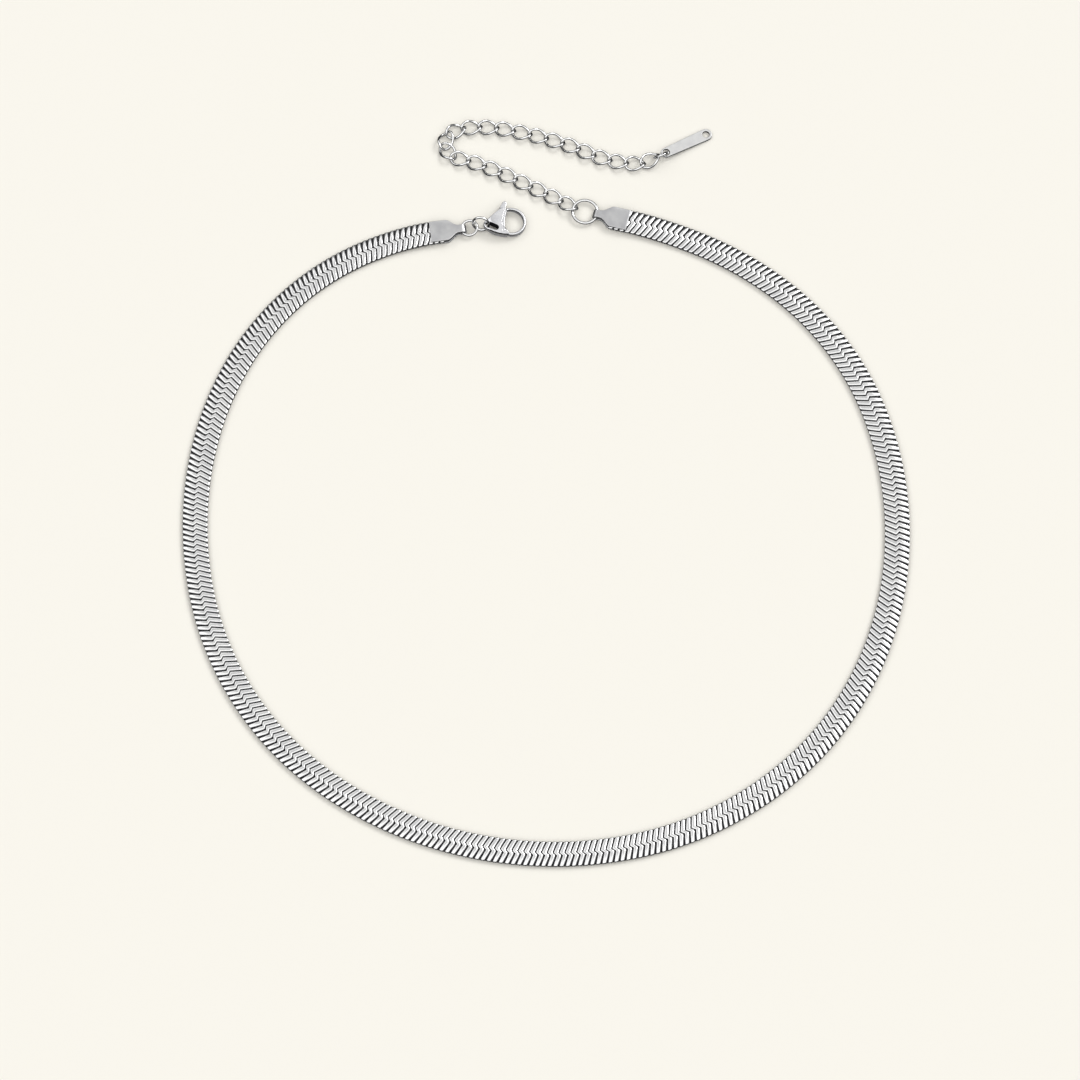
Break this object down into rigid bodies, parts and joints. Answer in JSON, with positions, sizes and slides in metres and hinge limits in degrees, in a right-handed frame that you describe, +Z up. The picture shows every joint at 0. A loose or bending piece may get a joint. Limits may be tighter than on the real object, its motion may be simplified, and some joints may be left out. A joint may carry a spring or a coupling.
{
  "type": "flat herringbone chain necklace",
  "caption": "Flat herringbone chain necklace laid out open in a loop, with folded end caps, a lobster clasp on jump rings, and a curb chain extender that ends in a plain bar tag.",
  "frame": {"origin": "centre of the necklace's outline as it lies, on the table that it rests on", "axes": "+Z up from the table, +Y towards the clasp and the extender, +X to the right in the picture"},
  "size_m": [0.1368, 0.1524, 0.0033],
  "materials": {
    "band_steel": "rolled and lightly polished",
    "satin_steel": "satin",
    "wire_steel": "bright polished wire",
    "clasp_steel": "polished",
    "pin_steel": "burnished rivet"
  },
  "bodies": {
    "necklace": {"herringbone_band": "band_steel", "end_cap_clasp": "satin_steel", "end_cap_extender": "satin_steel", "clasp_ring_a": "wire_steel", "clasp_ring_b": "wire_steel", "clasp_body": "clasp_steel", "clasp_pin": "pin_steel", "extender_ring": "wire_steel", "tag_ring": "wire_steel", "tag": "satin_steel", "link_01": "wire_steel", "link_02": "wire_steel", "link_03": "wire_steel", "link_04": "wire_steel", "link_05": "wire_steel", "link_06": "wire_steel", "link_07": "wire_steel", "link_08": "wire_steel", "link_09": "wire_steel", "link_10": "wire_steel", "link_11": "wire_steel", "link_12": "wire_steel", "link_13": "wire_steel", "link_14": "wire_steel", "link_15": "wire_steel", "link_16": "wire_steel", "link_17": "wire_steel", "link_18": "wire_steel", "link_19": "wire_steel", "link_20": "wire_steel", "link_21": "wire_steel", "link_22": "wire_steel", "link_23": "wire_steel"},
    "lever": {"clasp_lever": "clasp_steel"}
  },
  "joints": [
    {"name": "lever_hinge", "type": "hinge", "parent": "necklace", "child": "lever", "pos_m": [-0.0081, 0.05216, 0.0011], "axis": [0.1216, -0.0085, 0.9925], "range_deg": [0, 20], "stiffness_Nm_per_rad": 0.005, "springref_deg": -20.05}
  ]
}
